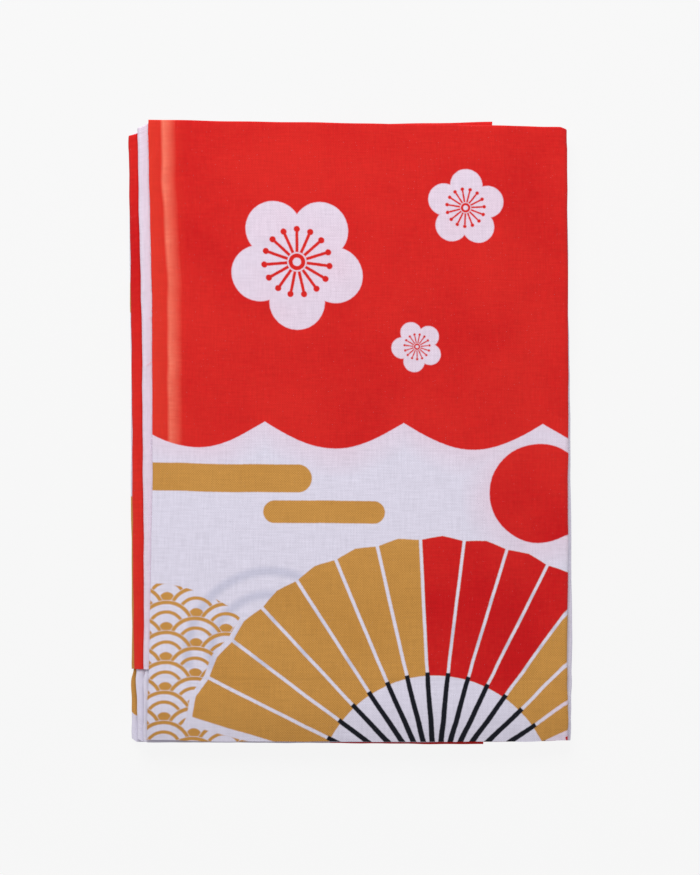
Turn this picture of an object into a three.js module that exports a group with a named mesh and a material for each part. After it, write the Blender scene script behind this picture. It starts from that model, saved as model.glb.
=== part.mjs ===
// A tenugui: a Japanese hand towel, one rectangle of thin plain-weave cotton with a selvedge along
// each long side and a raw, unhemmed cut across each end. It lies folded flat, face up.
//
// It is folded twice over. First the width is doubled: the back ply turns down behind the front ply
// at a crease, and stops short of the front ply's selvedge. The doubled strip is then folded back and
// forth into seven panels, and each panel lies a little askew on the one below it.
//
// Frame: X to the right, Y from the free selvedges up to the crease, Z up out of the face of the
// towel. The origin is at the middle of the underside. Millimetres.

import * as THREE from 'three';

// Cloth
const clothThickness = 0.4;

// Spacing of the folded cloth, from middle to middle. A doubled layer is two plies, 1 mm thick in all.
const plyPitch = 0.6;
const layerPitch = 1.3;
const layerThickness = plyPitch + clothThickness;
const foldReach = (layerPitch + layerThickness) / 2; // from a fold's centre to its outer edge
const quarterBend = (Math.PI / 2) * (layerPitch / 2); // cloth from a fold's outer edge to the flat

// One row for each line that crosses the strip: its two cut ends and the six folds between them.
// x is the line's outer edge where it meets the crease and the selvedge, bow is how far its middle
// swings to +X, and footShift how far its foot does. crease, frontSelvedge and backSelvedge are the Y
// of the strip's edges there. At a corner the crease falls by cornerDrop over cornerRun of cloth, and
// the front selvedge rises by footLift over footRun.
const lines = [
  { name: 'upper cut end', xCrease: -60.7, xSelvedge: -61.2, bow: 1.7, footShift: 0,
    crease: 93.6, frontSelvedge: -93.0, backSelvedge: -74.6,
    cornerRun: 0, cornerDrop: 0, footRun: 20, footLift: 0.5 },
  { name: 'right fold 1', xCrease: 65.1, xSelvedge: 64.9, bow: 0.6, footShift: 0.45,
    crease: 91.5, frontSelvedge: -93.15, backSelvedge: -74.6,
    cornerRun: 2.2, cornerDrop: 0.6, footRun: 14, footLift: 0.45 },
  { name: 'left fold 2', xCrease: -64.0, xSelvedge: -62.1, bow: 0.8, footShift: 0,
    crease: 93.5, frontSelvedge: -93.4, backSelvedge: -71.4,
    cornerRun: 5.7, cornerDrop: 2.2, footRun: 1.6, footLift: 0.5 },
  { name: 'right fold 3', xCrease: 64.9, xSelvedge: 67.0, bow: 0.3, footShift: -0.5,
    crease: 90.7, frontSelvedge: -93.2, backSelvedge: -72.8,
    cornerRun: 4.0, cornerDrop: 1.1, footRun: 14, footLift: 0.45 },
  { name: 'left fold 4', xCrease: -66.7, xSelvedge: -65.2, bow: 0.4, footShift: 1.4,
    crease: 89.9, frontSelvedge: -93.2, backSelvedge: -71.4,
    cornerRun: 4.0, cornerDrop: 0.9, footRun: 2.0, footLift: 1.0 },
  { name: 'right fold 5', xCrease: 64.5, xSelvedge: 66.3, bow: 0.3, footShift: -0.3,
    crease: 90.5, frontSelvedge: -93.0, backSelvedge: -72.4,
    cornerRun: 4.0, cornerDrop: 1.1, footRun: 14, footLift: 0.4 },
  { name: 'left fold 6', xCrease: -66.6, xSelvedge: -65.7, bow: 0.2, footShift: 0,
    crease: 91.2, frontSelvedge: -93.4, backSelvedge: -71.4,
    cornerRun: 5.0, cornerDrop: 1.9, footRun: 2.0, footLift: 1.1 },
  { name: 'lower cut end', xCrease: 42.7, xSelvedge: 40.1, bow: 0, footShift: 0,
    crease: 93.3, frontSelvedge: -94.2, backSelvedge: -72.2,
    cornerRun: 0, cornerDrop: 0, footRun: 0, footLift: 0 },
];
const panelCount = lines.length - 1;
const lowerEnd = lines[panelCount];

// A line's foot swings out over this run of Y.
const footBendStart = -60;
const footBendRun = 30;

// Past the lower cut end the panels above sink by one layer, over this run.
const sinkStart = 1;
const sinkRun = 14;

// Below the back selvedges each panel is a single ply. Towards the foot the plies settle on this pitch.
const settleStart = -79;
const settleRun = 14;
const footPitch = 1.1;

// Past the end of the back selvedge a fold has only one ply, which takes its outer edge over this run.
const bareRun = 3.5;

// The underside rests on the floor: what comes this close to it is laid flat on it.
const restingGap = 0.02;

// Steps of the mesh. Rows of points crowd together at these shares of a softened corner and of the
// sink, but keep a least gap.
const bendSteps = 6;
const creaseSteps = 6;
const cornerMarks = [0.4, 0.7, 1];
const sinkMarks = [0, 0.25, 0.5, 0.75, 1];
const leastRowGap = 0.3;

const { clamp, lerp, smoothstep } = THREE.MathUtils;

// Edge of a line at height y: straight from selvedge to crease, but for its bow and its foot.
function lineEdge(line, y) {
  const share = (y - lowerEnd.frontSelvedge) / (lowerEnd.crease - lowerEnd.frontSelvedge);
  const swing = line.bow * 4 * share * (1 - share);
  const foot = line.footShift * smoothstep(footBendStart - y, 0, footBendRun);
  return lerp(line.xSelvedge, line.xCrease, share) + swing + foot;
}

// How far a softened corner cuts into an edge, at a distance along the cloth from the line: half a
// cosine wave.
function cornerCut(distance, run, depth) {
  if (distance >= run) return 0;
  return (depth * (1 + Math.cos((Math.PI * distance) / run))) / 2;
}

// The places along the strip where the mesh has a row of points, from the upper cut end to the lower.
// On a panel, share runs from its first line to its second. On a bend, turn runs from 0 to half a turn.
function stripPlaces() {
  const places = [];
  for (let panel = 0; panel < panelCount; panel++) {
    for (const share of panelShares(panel)) places.push({ panel, share, turn: 0 });
    if (panel === panelCount - 1) break;
    for (let step = 1; step < bendSteps; step++) {
      places.push({ panel, share: 1, turn: (Math.PI * step) / bendSteps });
    }
  }
  return places;
}

// Shares of a panel's straight length: close together at softened corners and where the panel sinks.
function panelShares(panel) {
  const [first, second] = [lines[panel], lines[panel + 1]];
  const length = straightLength(panel);
  const marks = [length / 2];
  for (const place of cornerMarks) {
    for (const run of [first.cornerRun, first.footRun]) marks.push(place * run - quarterBend);
    for (const run of [second.cornerRun, second.footRun]) marks.push(length - (place * run - quarterBend));
  }
  if (panel < panelCount - 1) {
    for (const place of sinkMarks) {
      const x = (lowerEnd.xCrease + lowerEnd.xSelvedge) / 2 + sinkStart + place * sinkRun;
      marks.push(Math.abs(x - first.xCrease) - (isFold(panel) ? foldReach : 0));
    }
  }
  const spaced = [0];
  for (const mark of marks.sort((a, b) => a - b)) {
    const before = mark - spaced[spaced.length - 1];
    if (before > leastRowGap && length - mark > leastRowGap) spaced.push(mark);
  }
  return [...spaced, length].map((mark) => mark / length);
}

function isFold(line) {
  return line > 0 && line < panelCount;
}

function straightLength(panel) {
  const span = Math.abs(lines[panel + 1].xCrease - lines[panel].xCrease);
  return span - (isFold(panel) ? foldReach : 0) - (isFold(panel + 1) ? foldReach : 0);
}

// The places across the cloth: up the front ply, round the crease and down the back ply. rise is the
// share of the way from a ply's selvedge to the crease, and turn runs round the crease.
function clothPlaces() {
  const frontRises = [0, 0.025, 0.05, 0.075, 0.099, 0.118, 0.18, 0.45, 0.75, 1];
  const backRises = [1, 0.72, 0.38, 0.09, 0];
  const places = frontRises.map((rise) => ({ ply: 'front', rise, turn: 0 }));
  for (let step = 1; step < creaseSteps; step++) {
    places.push({ ply: 'crease', rise: 1, turn: (Math.PI * step) / creaseSteps });
  }
  return places.concat(backRises.map((rise) => ({ ply: 'back', rise, turn: Math.PI })));
}

// Height of the cloth's middle in a flat panel. The panels face up and down by turns, so offset, the
// distance towards the strip's face, counts up in one and down in the next.
function panelHeight(panel, offset, y) {
  const facing = panel % 2 === 0 ? 1 : -1;
  const below = panelCount - 1 - panel;
  const doubled = below * layerPitch + layerThickness / 2 + facing * offset;
  const single = below * footPitch + clothThickness / 2;
  return lerp(doubled, single, settling(y));
}

// How far the single plies have come together: the square of the share of the way down to the foot.
function settling(y) {
  return clamp((settleStart - y) / settleRun, 0, 1) ** 2;
}

// Radius of the half circle that joins a panel to the next one below
function bendRadius(panel, offset, y) {
  return (panelHeight(panel, offset, y) - panelHeight(panel + 1, offset, y)) / 2;
}

// How far the straight part of a panel stops short of a line's edge: the fold's reach, or where only
// one ply is left, that ply's own.
function foldInset(line, offset, y) {
  if (!isFold(line)) return 0;
  const bare = smoothstep(lines[line].backSelvedge - y, 0, bareRun);
  return lerp(foldReach, bendRadius(line - 1, offset, y) + clothThickness / 2, bare);
}

// The point of the cloth's middle surface at one place along the strip and one across it.
function clothPoint(along, across) {
  const { panel, share, turn } = along;
  const [first, second] = [lines[panel], lines[panel + 1]];
  const fromFirst = share * straightLength(panel) + (isFold(panel) ? quarterBend : 0);
  const fromSecond = (1 - share) * straightLength(panel)
    + (isFold(panel + 1) ? Math.abs(quarterBend - (turn * layerPitch) / 2) : 0);

  // Across the strip: y, and the offset to the face side of the strip's middle.
  const crease = lerp(first.crease, second.crease, share)
    - cornerCut(fromFirst, first.cornerRun, first.cornerDrop)
    - cornerCut(fromSecond, second.cornerRun, second.cornerDrop);
  const frontSelvedge = lerp(first.frontSelvedge, second.frontSelvedge, share)
    + cornerCut(fromFirst, first.footRun, first.footLift)
    + cornerCut(fromSecond, second.footRun, second.footLift);
  const backSelvedge = lerp(first.backSelvedge, second.backSelvedge, share);
  const selvedge = across.ply === 'back' ? backSelvedge : frontSelvedge;
  const creaseCentre = crease - layerThickness / 2;
  const y = lerp(selvedge, creaseCentre, across.rise) + (plyPitch / 2) * Math.sin(across.turn);
  const offset = (plyPitch / 2) * Math.cos(across.turn);

  // Along the strip: the panels run right and left by turns, and a half circle joins each to the next.
  const side = panel % 2 === 0 ? 1 : -1;
  const start = lineEdge(first, y) + side * foldInset(panel, offset, y);
  const end = lineEdge(second, y) - side * foldInset(panel + 1, offset, y);
  let x = lerp(start, end, share);
  let z = panelHeight(panel, offset, y);
  if (turn > 0) {
    const radius = bendRadius(panel, offset, y);
    x += side * radius * Math.sin(turn);
    z -= radius * (1 - Math.cos(turn));
  }

  // What lies over the end of the lowest panel sinks past it.
  if (panel < panelCount - 1) {
    const sunk = lerp(layerPitch, footPitch, settling(y));
    z -= sunk * smoothstep(x - lineEdge(lowerEnd, y) - sinkStart, 0, sinkRun);
  }
  return new THREE.Vector3(x, y, z);
}

// A closed solid of a sheet: the grid of its middle surface, thickened along its own normals. The
// face lies on the side from which the grid's rows and columns turn anticlockwise.
function thickSheet(grid, thickness) {
  const rows = grid.length;
  const columns = grid[0].length;
  const at = (i, j) => grid[Math.min(Math.max(i, 0), rows - 1)][Math.min(Math.max(j, 0), columns - 1)];
  const positions = [];
  for (const side of [1, -1]) {
    for (let i = 0; i < rows; i++) {
      for (let j = 0; j < columns; j++) {
        const alongRows = at(i + 1, j).clone().sub(at(i - 1, j));
        const alongColumns = at(i, j + 1).clone().sub(at(i, j - 1));
        const normal = alongRows.cross(alongColumns).normalize();
        positions.push(...at(i, j).clone().addScaledVector(normal, (side * thickness) / 2).toArray());
      }
    }
  }
  const face = (i, j) => i * columns + j;
  const back = (i, j) => rows * columns + i * columns + j;
  const indices = [];
  const quad = (a, b, c, d) => indices.push(a, b, c, a, c, d);
  for (let i = 0; i + 1 < rows; i++) {
    for (let j = 0; j + 1 < columns; j++) {
      quad(face(i, j), face(i + 1, j), face(i + 1, j + 1), face(i, j + 1));
      quad(back(i, j), back(i, j + 1), back(i + 1, j + 1), back(i + 1, j));
    }
  }
  for (let i = 0; i + 1 < rows; i++) {
    quad(face(i, 0), back(i, 0), back(i + 1, 0), face(i + 1, 0));
    quad(face(i + 1, columns - 1), back(i + 1, columns - 1), back(i, columns - 1), face(i, columns - 1));
  }
  for (let j = 0; j + 1 < columns; j++) {
    quad(face(0, j + 1), back(0, j + 1), back(0, j), face(0, j));
    quad(face(rows - 1, j), back(rows - 1, j), back(rows - 1, j + 1), face(rows - 1, j + 1));
  }
  const geometry = new THREE.BufferGeometry();
  geometry.setAttribute('position', new THREE.Float32BufferAttribute(positions, 3));
  geometry.setIndex(indices);
  return geometry;
}

// Lays the lowest points of a solid flat on the floor.
function laidFlat(geometry) {
  const position = geometry.getAttribute('position');
  for (let i = 0; i < position.count; i++) {
    if (position.getZ(i) < restingGap) position.setZ(i, 0);
  }
  return geometry;
}

// The folded cloth
function towelCloth() {
  const across = clothPlaces();
  const grid = stripPlaces().map((along) => across.map((place) => clothPoint(along, place)));
  const material = new THREE.MeshStandardMaterial({ color: 0xd82a25, roughness: 0.9, metalness: 0 });
  const mesh = new THREE.Mesh(laidFlat(thickSheet(grid, clothThickness)), material);
  mesh.name = 'towel_cloth';
  return mesh;
}

const towel = new THREE.Group();
towel.add(towelCloth());

export default towel;
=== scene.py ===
"""A tenugui, a thin printed cotton hand towel, lying folded flat and seen from straight above."""

import bpy
import numpy as np
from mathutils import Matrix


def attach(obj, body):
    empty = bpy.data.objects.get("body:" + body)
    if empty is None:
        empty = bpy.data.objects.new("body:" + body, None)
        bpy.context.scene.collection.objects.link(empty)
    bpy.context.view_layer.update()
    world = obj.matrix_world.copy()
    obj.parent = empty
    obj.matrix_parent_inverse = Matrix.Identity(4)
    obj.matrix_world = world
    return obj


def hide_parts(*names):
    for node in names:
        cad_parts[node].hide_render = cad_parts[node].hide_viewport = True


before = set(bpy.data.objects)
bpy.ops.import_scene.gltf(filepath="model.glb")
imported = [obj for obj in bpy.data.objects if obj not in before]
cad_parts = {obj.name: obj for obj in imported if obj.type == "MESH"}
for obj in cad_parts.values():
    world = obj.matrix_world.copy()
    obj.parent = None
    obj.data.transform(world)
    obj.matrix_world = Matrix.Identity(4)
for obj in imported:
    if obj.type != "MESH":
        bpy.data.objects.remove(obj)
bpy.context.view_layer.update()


# ---- The cloth ----
# One rectangle of thin plain-weave cotton, with a selvedge along each side and its ends cut raw. It is
# bleached, then dyed right through by stencils in red, ochre gold and black. Its width is doubled at a
# crease, the back ply stopping short, and the doubled strip is folded back and forth into seven panels.

# One row for each line across the strip, in millimetres: its two cut ends and the six folds.
columns = (
    "x_crease", "x_selvedge", "bow", "foot_shift", "crease", "front_selvedge", "back_selvedge",
    "corner_run", "corner_drop", "foot_run", "foot_lift",
)
rows = {
    "upper cut end": (-60.7, -61.2, 1.7, 0, 93.6, -93, -74.6, 1, 0, 20, 0.5),
    "right fold 1": (65.1, 64.9, 0.6, 0.45, 91.5, -93.15, -74.6, 2.2, 0.6, 14, 0.45),
    "left fold 2": (-64, -62.1, 0.8, 0, 93.5, -93.4, -71.4, 5.7, 2.2, 1.6, 0.5),
    "right fold 3": (64.9, 67, 0.3, -0.5, 90.7, -93.2, -72.8, 4, 1.1, 14, 0.45),
    "left fold 4": (-66.7, -65.2, 0.4, 1.4, 89.9, -93.2, -71.4, 4, 0.9, 2, 1),
    "right fold 5": (64.5, 66.3, 0.3, -0.3, 90.5, -93, -72.4, 4, 1.1, 14, 0.4),
    "left fold 6": (-66.6, -65.7, 0.2, 0, 91.2, -93.4, -71.4, 5, 1.9, 2, 1.1),
    "lower cut end": (42.7, 40.1, 0, 0, 93.3, -94.2, -72.2, 1, 0, 1, 0),
}
line = dict(zip(columns, 0.001 * np.array(list(rows.values())).T))
panel_count = len(rows) - 1

cloth_thickness = 0.00034
resting_height = 0.0002
ply_pitch = 0.0006
layer_pitch = 0.0013
layer_thickness = 0.001
fold_reach = (layer_pitch + layer_thickness) / 2
quarter_bend = np.pi / 4 * layer_pitch
sink_start, sink_run = 0.001, 0.014
foot_bend_start, foot_bend_run, bare_run = -0.06, 0.03, 0.0035
settle_start, settle_run, foot_pitch = -0.079, 0.014, 0.0011
step_start, step_run, step_share = -0.0741, 0.0011, 0.05
front_length, back_length = 0.1855, 0.1638
panel_span = 0.13
map_margin, map_middle = 0.01, 0.49
waver = np.random.default_rng(7)


def ease(t):
    """A smooth step: 3t^2 - 2t^3, held at 0 below and at 1 above."""
    t = np.clip(t, 0, 1)
    return t * t * (3 - 2 * t)


def between(a, b, t):
    """The value a share t of the way from a to b."""
    return a + (b - a) * t


def ripple(s, size, lengths, phases):
    """A slight unevenness along s: the mean of sine waves of the given lengths, times size."""
    return size * np.mean([np.sin(2 * np.pi * s / l + p) for l, p in zip(lengths, phases)], axis=0)


edge_phases = waver.uniform(0, 2 * np.pi, (4, panel_count + 1))


def line_edge(k, y):
    """The outer edge of line k at height y: straight from selvedge to crease, but for a bow, a foot that
    swings out and a ripple."""
    share = (y - line["front_selvedge"][-1]) / (line["crease"][-1] - line["front_selvedge"][-1])
    straight = between(line["x_selvedge"][k], line["x_crease"][k], share)
    foot = line["foot_shift"][k] * ease((foot_bend_start - y) / foot_bend_run)
    wander = ripple(y, 0.00022, (0.061, 0.027, 0.013, 0.0071), edge_phases[:, k])
    return straight + 4 * line["bow"][k] * share * (1 - share) + foot + wander


def corner_cut(distance, run, depth):
    """How far a softened corner cuts into an edge: half a cosine wave of the given depth."""
    return depth * (1 + np.cos(np.pi * np.clip(distance / run, 0, 1))) / 2


def settling(y):
    """How far the single plies have come together: a slight step where the back ply ends, and then the
    square of the share of the way down to the foot."""
    step = ease((step_start - y) / step_run)
    return step_share * step + (1 - step_share) * np.clip((settle_start - y) / settle_run, 0, 1) ** 2


def panel_height(panel, offset, y):
    """The height of a flat panel. Panels face up and down by turns, and offset is towards the face."""
    below = panel_count - 1 - panel
    doubled = below * layer_pitch + layer_thickness / 2 + (1 - 2 * (panel % 2)) * offset
    return between(doubled, below * foot_pitch + resting_height, settling(y))


def bend_radius(panel, offset, y):
    """The radius of the half circle from a panel to the next: half the difference of their heights."""
    return (panel_height(panel, offset, y) - panel_height(panel + 1, offset, y)) / 2


def is_fold(k):
    return (k > 0) & (k < panel_count)


def fold_inset(k, offset, y):
    """How far a panel's flat part stops short of line k: the fold's reach, or a lone ply's own."""
    own = bend_radius(k - 1, offset, y) + cloth_thickness / 2
    bare = ease((line["back_selvedge"][k] - y) / bare_run)
    return np.where(is_fold(k), between(fold_reach, own, bare), 0)


def straight_length(panel):
    """The length of a panel's flat part, along the crease."""
    span = np.abs(line["x_crease"][panel + 1] - line["x_crease"][panel])
    return span - fold_reach * (1.0 * is_fold(panel) + is_fold(panel + 1))


def strip_places():
    """Panel, share along it and turn round its bend, for each row of points along the strip."""
    flat = np.linspace(0, 1, 61)
    flat = flat - 0.85 * np.sin(2 * np.pi * flat) / (2 * np.pi)
    bend = np.linspace(0, np.pi, 13)[1:-1]
    places = []
    for panel in range(panel_count):
        places += [(panel, share, 0) for share in flat]
        if panel < panel_count - 1:
            places += [(panel, 1, turn) for turn in bend]
    panel, share, turn = np.array(places).T[:, :, None]
    return panel.astype(int), share, turn


def cloth_places():
    """Rise up a ply, turn round the crease and whether it is the back ply, for each column of points."""
    top = np.linspace(0.97, 1, 4)
    foot = np.concatenate([np.linspace(0, 0.1, 19), np.linspace(0.1, 0.13, 7)[1:]])
    up = np.concatenate([foot, np.linspace(0.13, 0.97, 26)[1:], top[1:]])
    down = np.concatenate([top[::-1], np.linspace(0.97, 0.04, 24)[1:], (0.025, 0.012, 0.004, 0)])
    round_crease = np.linspace(0, np.pi, 9)[1:-1]
    rise = np.concatenate([up, np.ones(7), down])
    turn = np.concatenate([0 * up, round_crease, 0 * down + np.pi])
    back = np.concatenate([0 * up, np.zeros(7), 0 * down + 1])
    return rise[None], turn[None], back[None]


def swollen(x, y, z):
    """The height of a point in the pile, which swells and sinks by 2 percent in crossed sine waves."""
    swell = 0.02 * np.sin(x / 0.017 + 1 + 0.6 * np.sin(y / 0.031)) * np.sin(y / 0.023 + x / 0.05)
    return resting_height + (z - resting_height) * (1 + swell)


def folded_cloth():
    """Middle surface of the cloth, rows along the strip by columns across it, with its flat (u, v).

    Across, a ply runs from its selvedge to the crease and a half circle joins front to back. Along, each
    panel runs from line to line, and a half circle carries both plies down to the next panel.
    """
    panel, share, turn = strip_places()
    rise, fold, back = cloth_places()
    first, second = panel, panel + 1
    from_first = share * straight_length(panel) + quarter_bend * is_fold(first)
    from_second = (1 - share) * straight_length(panel) + np.where(
        is_fold(second), np.abs(quarter_bend - turn * layer_pitch / 2), 0
    )

    def along(name):
        return between(line[name][first], line[name][second], share)

    def corners(run, depth):
        near = corner_cut(from_first, line[run][first], line[depth][first])
        return near + corner_cut(from_second, line[run][second], line[depth][second])

    reach = from_first + panel_span * panel
    crease = along("crease") - corners("corner_run", "corner_drop")
    crease = crease + ripple(reach, 0.0001, (0.047, 0.019), (1, 4))
    front = along("front_selvedge") + corners("foot_run", "foot_lift")
    front = front + ripple(reach, 0.00012, (0.053, 0.023, 0.011), (2, 5, 3))
    selvedge = np.where(back > 0, along("back_selvedge"), front)
    y = between(selvedge, crease - layer_thickness / 2, rise) + ply_pitch / 2 * np.sin(fold)
    offset = ply_pitch / 2 * np.cos(fold)

    side = 1 - 2 * (panel % 2)
    start = line_edge(first, y) + side * fold_inset(first, offset, y)
    stop = line_edge(second, y) - side * fold_inset(second, offset, y)
    radius = bend_radius(panel, offset, y)
    x = between(start, stop, share) + side * radius * np.sin(turn)
    z = panel_height(panel, offset, y) - radius * (1 - np.cos(turn))

    sunk = between(layer_pitch, foot_pitch, settling(y))
    past_end = (x - line_edge(panel_count, y) - sink_start) / sink_run
    z = z - np.where(panel < panel_count - 1, sunk * ease(past_end), 0)
    z = swollen(x, y, z)

    panels = np.arange(panel_count)
    lengths = straight_length(panels) + np.pi * layer_pitch / 2
    before = np.concatenate([[0], np.cumsum(lengths)])[panel]
    u = before + share * straight_length(panel) + turn * layer_pitch / 2
    v = np.where(
        back > 0, front_length + np.pi * ply_pitch / 2 + (1 - rise) * back_length,
        rise * front_length + fold * ply_pitch / 2,
    )
    x, y, z, u, v = np.broadcast_arrays(x, y, z, u, v)
    return np.stack([x, y, z], -1), u, v


def sheet_mesh(name, points, u, v, thickness):
    """A closed mesh of a sheet: its middle surface moved half a thickness along its normal each way.

    The map holds the face at (u, v) plus a margin, and the reverse above it, mirrored in a middle line.
    """
    count, width = points.shape[:2]
    down = np.gradient(points, axis=0)
    over = np.gradient(points, axis=1)
    normal = np.cross(down, over)
    normal *= thickness / 2 / np.linalg.norm(normal, axis=2, keepdims=True)
    places = np.concatenate([(points + normal).reshape(-1, 3), (points - normal).reshape(-1, 3)])

    index = np.arange(count * width).reshape(count, width)
    a, b, c, d = index[:-1, :-1], index[1:, :-1], index[1:, 1:], index[:-1, 1:]
    face = np.stack([a, b, c, d], -1).reshape(-1, 4)
    reverse = np.stack([a, d, c, b], -1).reshape(-1, 4) + index.size
    rims = []
    for rim in (index[:, 0], index[-1], index[::-1, -1], index[0, ::-1]):
        rims.append(np.stack([rim[:-1], rim[:-1] + index.size, rim[1:] + index.size, rim[1:]], -1))
    rim = np.concatenate(rims)
    quads = np.concatenate([face, reverse, rim])

    mesh = bpy.data.meshes.new(name)
    mesh.from_pydata(places.tolist(), [], quads.tolist())
    flat = np.stack([u.ravel(), v.ravel()], -1) + map_margin
    mirrored = flat * (1, -1) + (0, 2 * map_middle)
    spots = np.concatenate([flat, mirrored])[quads.ravel()].reshape(-1, 4, 2)
    spots[len(face) + len(reverse):] = flat[rim % index.size]
    outwards = {0: (0, -1), 1: (1, 0), 2: (0, 1), 3: (-1, 0)}
    starts = len(face) + len(reverse) + np.cumsum([0] + [len(r) for r in rims])
    for side, way in outwards.items():
        spots[starts[side]:starts[side + 1], 1:3] += np.array(way) * thickness
    layer = mesh.uv_layers.new(name="cloth")
    layer.uv.foreach_set("vector", spots.astype(np.float32).ravel())
    smooth = np.arange(len(quads)) < len(face) + len(reverse)
    mesh.polygons.foreach_set("use_smooth", smooth)
    mesh.update()
    mesh.set_sharp_from_angle(angle=1)
    made = bpy.data.objects.new(name, mesh)
    bpy.context.collection.objects.link(made)
    return made


middle, cloth_u, cloth_v = folded_cloth()
towel = sheet_mesh("folded_towel", middle, cloth_u, cloth_v, cloth_thickness)


class Tone:
    """A socket of a material. Operators on it add Math nodes, so a pattern is written as a sum."""

    def __init__(self, tree, socket=None):
        self.tree, self.socket = tree, socket

    def node(self, kind, inputs=(), out=0, stops=None, **settings):
        """Adds a node: first its settings, then the values or links of its sockets. Returns one output."""
        made = self.tree.nodes.new(kind)
        for name, value in settings.items():
            setattr(made, name, value)
        if stops:
            for stop, (position, color) in zip(made.color_ramp.elements, stops):
                stop.position, stop.color = position, color
        for key, value in dict(inputs).items():
            if isinstance(value, Tone):
                self.tree.links.new(value.socket, made.inputs[key])
            else:
                made.inputs[key].default_value = value
        return Tone(self.tree, made.outputs[out])

    def math(self, operation, *values, clamp=False):
        return self.node("ShaderNodeMath", enumerate(values), operation=operation, use_clamp=clamp)

    def __add__(self, other):
        return self.math("ADD", self, other)

    def __sub__(self, other):
        return self.math("SUBTRACT", self, other)

    def __rsub__(self, other):
        return self.math("SUBTRACT", other, self)

    def __mul__(self, other):
        return self.math("MULTIPLY", self, other)

    def __truediv__(self, other):
        return self.math("DIVIDE", self, other)

    def __mod__(self, other):
        return self.math("FLOORED_MODULO", self, other)

    def __abs__(self):
        return self.math("ABSOLUTE", self)

    def __or__(self, other):
        """The union of two distances to shapes: the smaller."""
        return self.math("MINIMUM", self, other)

    def __and__(self, other):
        """Where two distances to shapes overlap: the larger."""
        return self.math("MAXIMUM", self, other)

    __radd__, __rmul__ = __add__, __mul__

    def sin(self):
        return self.math("SINE", self)

    def cos(self):
        return self.math("COSINE", self)

    def held(self):
        """Held between 0 and 1."""
        return self.math("ADD", self, 0, clamp=True)

    def noise(self, x, y, size, detail=2, roughness=0.5):
        """Noise from 0 to 1 over the plane of x and y, with features of about the given size."""
        at = self.node("ShaderNodeCombineXYZ", {0: x / size, 1: y / size})
        spread = {"Vector": at, "Scale": 1, "Detail": detail, "Roughness": roughness}
        return self.node("ShaderNodeTexNoise", spread, noise_dimensions="2D")

    def mixed(self, mask, first, second):
        """The first colour where the mask is 0 and the second where it is 1."""
        return self.node("ShaderNodeMix", {0: mask, 6: first, 7: second}, 2, data_type="RGBA")

    def over(self, mask, color):
        """This colour with another laid over it where the mask is 1."""
        return self.mixed(mask, self, color)


def dye(red, green, blue):
    """A colour in scene light from its screen values of 0 to 255."""
    c = np.array([red, green, blue]) / 255
    return (*np.where(c < 0.04045, c / 12.92, ((c + 0.055) / 1.055) ** 2.4), 1)


# The printed cotton. The edges of the dye are slightly soft, and the ply beneath shows faintly through.
# The design is a plain traditional one: plum blossom on red, a folding fan, bars of mist, a sun disc and
# scale waves.
cotton = bpy.data.materials.new("printed_cotton")
cotton.use_nodes = True
shader = cotton.node_tree.nodes["Principled BSDF"]
paint = Tone(cotton.node_tree)
place = paint.node("ShaderNodeUVMap", uv_map="cloth")
across, up = (place.node("ShaderNodeSeparateXYZ", {0: place}, out=k) for k in (0, 1))
u = (across - map_margin) * 1000
v = (map_middle - map_margin - abs(up - map_middle)) * 1000
wobble = 0.16 * paint.noise(u, v, 0.9, 3) - 0.08


def ink(distance, softness=0.35):
    """How much dye lies at a distance outside a shape's edge, in millimetres, with a soft uneven edge."""
    return (0.5 - (distance + wobble) / softness).held()


def away(x, y, cx, cy):
    """The distance of (x, y) from a point."""
    across, up = x - cx, y - cy
    return paint.math("SQRT", across * across + up * up)


def lobes(s, pitch, depth):
    """A row of rounded lobes along s: the size of a sine wave."""
    return abs((s * (np.pi / pitch)).sin()) * depth


def mist_bar(x, y, cx, cy, half, radius):
    """The distance outside a bar with round ends: that from its middle line, less its radius."""
    return away(abs(x - cx) - half & 0, y, 0, cy) - radius


def blossom(x, y, cx, cy, size, turn):
    """Distances outside a five-petalled blossom and outside its stamens.

    The angle is folded into one fifth of a turn, where a petal is a disc, and a stamen a line and a dot.
    """
    r = away(x, y, cx, cy)
    angle = (paint.math("ARCTAN2", y - cy, x - cx) - turn) % (2 * np.pi / 5) - np.pi / 5
    out, off = r * angle.cos(), r * angle.sin()
    petals = away(out, off, 0.57 * size, 0) - 0.4 * size | r - 0.3 * size
    finer = abs(angle % (2 * np.pi / 15) - np.pi / 15)
    thread = (r * finer.sin() - 0.022 * size) & abs(r - 0.29 * size) - 0.15 * size
    dot = away(r * finer.cos(), r * finer.sin(), 0.47 * size, 0) - 0.045 * size
    return petals, thread | dot | abs(r - 0.09 * size) - 0.03 * size


def fan(x, y, cx, cy, inner, outer, start, stop, blades):
    """Distances outside an open fan's leaf, its blades' edges and its ribs, and the share of its spread.

    In polar terms about the pivot, the leaf is a ring between two angles, and its rim a zigzag.
    """
    r = away(x, y, cx, cy)
    angle = paint.math("ARCTAN2", y - cy, x - cx)
    spread = (angle - start) / (stop - start)
    step = (stop - start) / blades
    fold = abs((angle - start) % step - step / 2)
    zigzag = fold * (2.2 / step)
    sides = (abs(spread - 0.5) - 0.5) * ((stop - start) * 0.5 * (inner + outer))
    leaf = sides & (r - outer + zigzag) & (inner - r)
    edges = (step / 2 - fold) * r - 0.5
    ribs = ((step / 2 - fold) * r - (0.75 - r * (0.25 / inner)) - 0.2) & sides & (r - inner - 1) & (6 - r)
    return leaf, edges, ribs, spread


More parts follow.
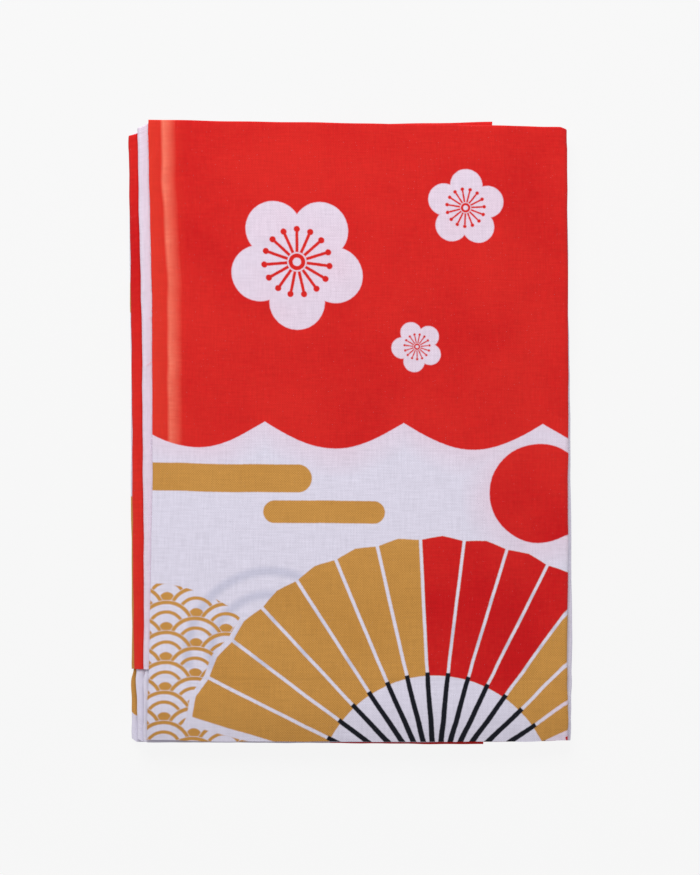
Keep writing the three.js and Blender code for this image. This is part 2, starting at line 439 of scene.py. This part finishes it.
def scale_waves(x, y, size):
    """The distance from a wave's own centre, in rows of overlapping circles where lower rows lie on top."""
    half = size / 2
    row = paint.math("FLOOR", y / half)
    up = y - row * half

    def centre(shift, lift):
        nearest = (x + (row + shift) % 2 * size) % (2 * size) - size
        return away(nearest, up + lift, 0, 0)

    below, own = centre(1, half), centre(0, 0)
    inside = paint.math("LESS_THAN", below, size)
    return below * inside + own * (1 - inside)


# Colours of the dyes and of the bleached cotton
red, deep_red = dye(218, 40, 35), dye(201, 22, 26)
orange_red, pale_red = dye(225, 57, 42), dye(247, 122, 99)
gold, deep_gold = dye(205, 149, 76), dye(196, 140, 68)
bleached, blush = dye(225, 220, 237), dye(231, 206, 223)
black, indigo = dye(22, 24, 33), dye(150, 158, 190)

# Distances outside each shape of the design, in millimetres
upper_band = (96 - lobes(u + 8, 42, 8) - v) & (v - 262 - lobes(u, 50, 7)) & (u - 204 - lobes(v, 38, 6))
middle_band = (60 - lobes(u, 36, 6) - v) & abs(u - 520) - 80 - lobes(v, 38, 6)
end_band = 838 - lobes(v, 44, 7) - u
sun = away(u, v, 117, 75) - 15 | away(u, v, 141, 4) - 16.6
red_ground = upper_band | middle_band | end_band | sun
hem_line = abs(upper_band - 2.6) - 0.6 & 130 - v
petals, stamens = blossom(u, v, 44, 144, 21, 0.3)
for cx, cy, size, turn in ((95, 161, 12, 0.9), (80, 119, 8, 0.1), (868, 282, 21, 0.2), (855, 226, 12, 0.7)):
    shape, detail = blossom(u, v, cx, cy, size, turn)
    petals, stamens = petals | shape, stamens | detail
mist = mist_bar(u, v, 20, 79, 24, 4.2) | mist_bar(u, v, 52, 69, 15, 3.4) | mist_bar(u, v, 800, 236, 22, 5)
gold_discs = away(u, v, 772, 60) - 52 | away(u, v, 772, 350) - 53
leaf, blade_edges, ribs, spread = fan(u, v, 86, -15, 35, 77, 0.42, 2.85, 14)
waves = scale_waves(u + 4, v + 3, 9)
wave_field = (away(u, v, 0, 0) - 47) | (abs(u - 690) - 60 & v - 170)
wave_lines = abs(waves - 8.3) - 0.55 | abs(waves - 5.4) - 0.5 | waves - 2.4
rings_at = away(u, v, 36, 345) | away(u, v, 112, 352)
rings = abs(rings_at % 7 - 3.5) - 1.3 & rings_at - 27

# Dye laid over dye. The red is more orange and then paler in a stripe beside the upper end, more orange on
# the lower part of the fourth fold's edge, and deeper low on the uppermost panel. Painted shade darkens the
# red on the upper part of the fourth fold's edge, and a painted reflection of the red tints the white
# beside the second fold pink.
from_fold_2, from_fold_4 = abs(u - 253), abs(u - 519)
top_panel = (131 - u).held()
blotch = paint.noise(u, v, 26, 3)
mottle = paint.noise(u, v, 1.3, 2)
near_end = 0.9 * (1 - u / 11).held()
stripe_edge = 3.4 + 0.9 * ((186 - v) / 60).held() + 1.8 * paint.noise(u / 30, v, 22, 1) - 0.9
stripe = ((u - stripe_edge) / 0.9).held() * (1 - (u - stripe_edge - 1.2) / 3.6).held()
streaks = 0.7 + 0.6 * paint.noise(u / 9, v, 0.4, 1)
stripe = stripe * streaks * (0.25 + 0.1 * ((v - 140) / 30).held() + paint.noise(u / 9, v, 18, 3))
faded = ((v - 250) / 50).held() * (1 - from_fold_4 / 9).held()
# Painted shade: the red darkened on the upper part of the fourth fold's edge, the shade of a recess.
soaked_and_shaded = 0.8 * ((262 - v) / 30).held() * (1 - from_fold_4 / 12).held()
# The deeper red low on the uppermost panel is the dye's own.
soaked_and_shaded = soaked_and_shaded + 0.9 * (1 - v / 90).held() * top_panel
fresh_red = paint.mixed((blotch * 1.4 - 0.47 + 0.7 * (mottle - 0.5) + soaked_and_shaded).held(), red, deep_red)
fresh_red = fresh_red.over(near_end, orange_red).over(faded, orange_red).over(stripe.held(), pale_red)
fresh_gold = paint.mixed((blotch * 1.6 - 0.3).held(), gold, deep_gold)
run = 0.7 * (1 - red_ground / 9).held() * (0.4 + paint.noise(u, v, 17, 2))
# Painted reflection and shade: the white beside the second fold tinted pink, as red light thrown from the
# red edge beside it.
run = run + 0.6 * (1 - from_fold_2 / 8).held() * ((v - 20) / 30).held()
ground = paint.mixed(run.held(), bleached, blush).over(ink(rings, 1.2) * 0.75, indigo)

# The rings on the back ply show faintly through the front one, mirrored in the crease.
crease_at = 185.8
under = 2 * crease_at - v
ghost_at = away(u, under, 36, 345) | away(u, under, 112, 352)
ghost = abs(ghost_at % 7 - 3.5) - 1.3 & ghost_at - 27 & under - 350
ground = ground.over(ink(ghost, 1.6) * 0.3, indigo)

in_leaf = ink(leaf) * ink(-1 * blade_edges)
red_blades = ink((abs(spread - 5 / 14) - 2 / 14) * 136)
cloth = ground.over(ink(wave_field) * ink(wave_lines), fresh_gold)
cloth = cloth.over(ink(mist | gold_discs | hem_line), fresh_gold)
cloth = cloth.over(ink(red_ground), fresh_red)
cloth = cloth.over(ink(petals), ground).over(ink(stamens, 0.3), fresh_red)
cloth = cloth.over(ink(leaf - 1.6), ground)
cloth = cloth.over(in_leaf, fresh_gold).over(in_leaf * red_blades, fresh_red)
cloth = cloth.over(ink(ribs, 0.3), black)

# Plain weave: threads that pass over and under, uneven along their length. Their crossings are painted in
# shade and light, strongest in the gold, as well as raised by the bump, and here and there a fleck of
# thread is mixed paler.
# Across the uppermost panel runs a painted dark line with a painted light line beside it, the shade and
# light of the slight step where the selvedge of the ply beneath lies.
thread = 0.36
weave = (u * (np.pi / thread)).sin() * (v * (np.pi / thread)).sin()
slub = paint.noise(u / 14, v, 0.45, 1) + paint.noise(u, v / 14, 0.45, 1)
green, blue = (cloth.node("ShaderNodeSeparateColor", {0: cloth}, out=k) for k in (1, 2))
# Painted shade and light of the thread crossings, strongest in the gold.
painted_weave_shade = 0.06 + 0.9 * (green - blue).held()
# Painted shade and light: a dark line with a light line beside it, where the ply beneath ends under the
# uppermost panel.
painted_ledge_shading = ((1 - abs(v - 18.1) / 0.6).held() - (1 - abs(v - 19) / 0.8).held()) * top_panel
shade = 1 + 0.16 * (slub - 1) + 0.06 * (mottle - 0.5) + painted_weave_shade * weave + 0.035 * painted_ledge_shading
fleck = ((paint.noise(u, v, 0.3, 0) - 0.88) * 12).held()
woven = cloth.node("ShaderNodeVectorMath", {0: cloth, "Scale": shade}, operation="SCALE")
woven = woven.over(0.25 * fleck, blush)
height = 0.5 + 0.25 * weave + 0.5 * (slub - 1)
bump = height.node("ShaderNodeBump", {"Strength": 0.35, "Distance": 0.0001, "Height": height})
for name, value in {"Base Color": woven, "Normal": bump}.items():
    cotton.node_tree.links.new(value.socket, shader.inputs[name])
finish = {"Roughness": 0.9, "Specular IOR Level": 0.08, "Sheen Weight": 0.05, "Sheen Roughness": 0.6}
for name, value in finish.items():
    shader.inputs[name].default_value = value
towel.data.materials.append(cotton)
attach(towel, "root")
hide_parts("towel_cloth")


# ---- The frayed ends ----
# Where the cloth is cut and not hemmed, the ends of the lengthwise threads stick out of the edge, and
# now and then one has worked loose. They are the same dyed cotton.
fray = np.random.default_rng(11)


def thread_ends(row, count, out):
    """Tubes of three sides that leave the cut edge: length, aim and curl are drawn at random for each."""
    spot = fray.uniform(0.0005, cloth_v.max() - 0.0005, count)
    root = np.stack([np.interp(spot, cloth_v[row], middle[row, :, k]) for k in range(3)], -1)
    loose = fray.uniform(size=count) < 0.015
    length = np.where(loose, fray.uniform(0.0008, 0.002, count), fray.uniform(0.0001, 0.00045, count))
    aim = fray.normal(0, 0.35, (count, 2)) * (1, 0.15)
    curl = fray.normal(0, 0.5, (count, 2)) * (1, 0.1) * np.where(loose, 1.5, 0.3)[:, None]
    t = np.linspace(-0.15, 1, 6)[None, :, None]
    way = np.concatenate([np.full((count, 1), out), aim], 1)[:, None]
    bend = np.concatenate([np.zeros((count, 1)), curl], 1)[:, None]
    path = root[:, None] + length[:, None, None] * (way * t + bend * t * t)
    around = np.linspace(0, 2 * np.pi, 4)[:3]
    thin = np.linspace(0.00007, 0.00003, 6)[None, :, None]
    ring = np.stack([0 * around, np.cos(around), np.sin(around)], -1)
    return path[:, :, None] + thin[..., None] * ring, spot


def thread_mesh(name, tubes, spots, end_u):
    """One mesh of closed tubes, from arrays of thread by ring by side. Each keeps its place on the map."""
    count, steps, sides = tubes.shape[:3]
    index = np.arange(count * steps * sides).reshape(count, steps, sides)
    nxt = np.roll(index, -1, axis=2)
    walls = np.stack([index[:, :-1], nxt[:, :-1], nxt[:, 1:], index[:, 1:]], -1).reshape(-1, 4).tolist()
    caps = index[:, 0, ::-1].tolist() + index[:, -1].tolist()
    mesh = bpy.data.meshes.new(name)
    mesh.from_pydata(tubes.reshape(-1, 3).tolist(), [], walls + caps)
    flat = np.stack([np.repeat(end_u, steps * sides), np.repeat(spots, steps * sides)], -1) + map_margin
    corner = np.empty(len(mesh.loops), int)
    mesh.loops.foreach_get("vertex_index", corner)
    layer = mesh.uv_layers.new(name="cloth")
    layer.uv.foreach_set("vector", flat[corner].astype(np.float32).ravel())
    mesh.update()
    made = bpy.data.objects.new(name, mesh)
    bpy.context.collection.objects.link(made)
    return made


upper_count, lower_count, set_in = 170, 120, 0.0002
upper_tubes, upper_spots = thread_ends(0, upper_count, -1)
lower_tubes, lower_spots = thread_ends(-1, lower_count, 1)
end_u = np.concatenate([np.full(upper_count, set_in), np.full(lower_count, cloth_u.max() - set_in)])
threads = thread_mesh("cut_end_threads", np.concatenate([upper_tubes, lower_tubes]),
                      np.concatenate([upper_spots, lower_spots]), end_u)
threads.data.materials.append(cotton)
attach(threads, "root")


# ---- The studio ----
# A plain pale floor, soft light from all round with a broad lamp beyond the crease, and a long lens
# looking straight down.
floor_mesh = bpy.data.meshes.new("floor")
floor_corners = [(x, y, -0.0002) for x, y in ((-3, -3), (3, -3), (3, 3), (-3, 3))]
floor_mesh.from_pydata(floor_corners, [], [(0, 1, 2, 3)])
floor = bpy.data.objects.new("floor", floor_mesh)
bpy.context.collection.objects.link(floor)
pale = bpy.data.materials.new("pale_floor")
pale.use_nodes = True
base = Tone(pale.node_tree)
matt = base.node("ShaderNodeBsdfDiffuse", {"Color": (0.05, 0.05, 0.05, 1)})
glow = base.node("ShaderNodeEmission", {"Color": (1, 1, 1, 1), "Strength": 0.885})
both = base.node("ShaderNodeAddShader", {0: matt, 1: glow})
pale.node_tree.links.new(both.socket, pale.node_tree.nodes["Material Output"].inputs["Surface"])
floor_mesh.materials.append(pale)

world = bpy.data.worlds.new("soft_room")
world.use_nodes = True
world.node_tree.nodes["Background"].inputs["Color"].default_value = (1, 1, 1, 1)
world.node_tree.nodes["Background"].inputs["Strength"].default_value = 0.4
bpy.context.scene.world = world

lamp_data = bpy.data.lights.new("broad_lamp", "AREA")
lamp_data.shape, lamp_data.size, lamp_data.size_y, lamp_data.energy = "RECTANGLE", 0.6, 0.5, 6.8
lamp = bpy.data.objects.new("broad_lamp", lamp_data)
lamp.location = (-0.1, 0.62, 0.66)
lamp.rotation_euler = (-lamp.location).to_track_quat("-Z", "Y").to_euler()
bpy.context.collection.objects.link(lamp)

lens, film = 300, 36
view_height, towel_top = 0.2625, 0.0087
camera_data = bpy.data.cameras.new("camera")
camera_data.lens, camera_data.sensor_width, camera_data.sensor_fit = lens, film, "AUTO"
camera_data.clip_end = 10
camera = bpy.data.objects.new("camera", camera_data)
camera.location = (0, -0.0018, towel_top + view_height * lens / film)
bpy.context.collection.objects.link(camera)
bpy.context.scene.camera = camera
bpy.context.scene.view_settings.view_transform = "Standard"
